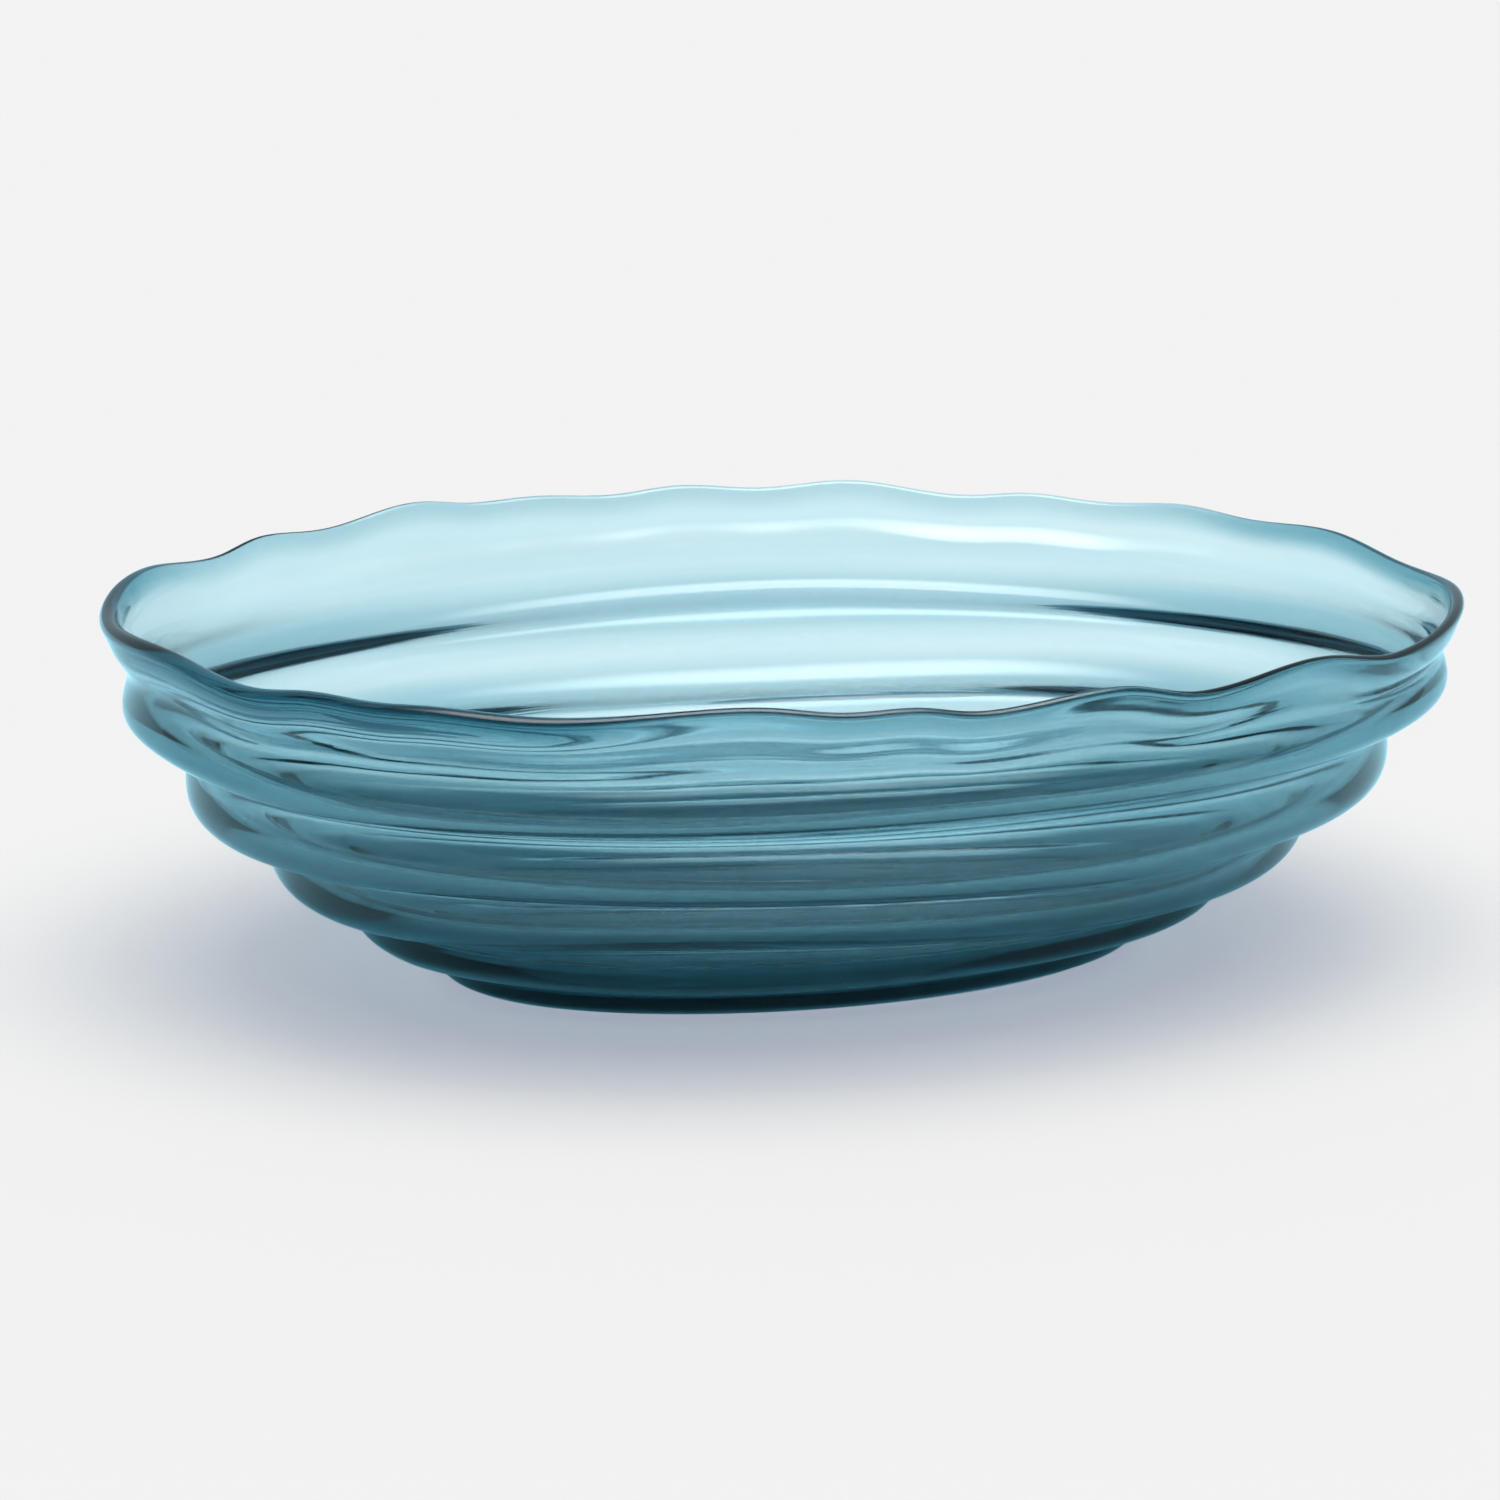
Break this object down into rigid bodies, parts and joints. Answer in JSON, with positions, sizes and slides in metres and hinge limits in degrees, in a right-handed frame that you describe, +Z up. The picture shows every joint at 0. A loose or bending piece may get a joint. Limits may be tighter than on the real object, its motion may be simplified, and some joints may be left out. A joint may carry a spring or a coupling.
{
  "type": "art glass bowl",
  "caption": "Oval bowl of clear teal glass with a waved, turned-out lip, soft moulded rings round its flared wall and a flat ground base.",
  "frame": {"origin": "on the surface that the bowl stands on, under the middle of its bounding box, which is also near the middle of the base oval", "axes": "+X along the oval's long axis, +Y along its short axis, +Z up out of the bowl's mouth"},
  "size_m": [0.404, 0.3072, 0.1174],
  "materials": {
    "glass": "fire-polished clear glass, coloured through"
  },
  "bodies": {
    "root": {"bowl": "glass"}
  },
  "joints": []
}
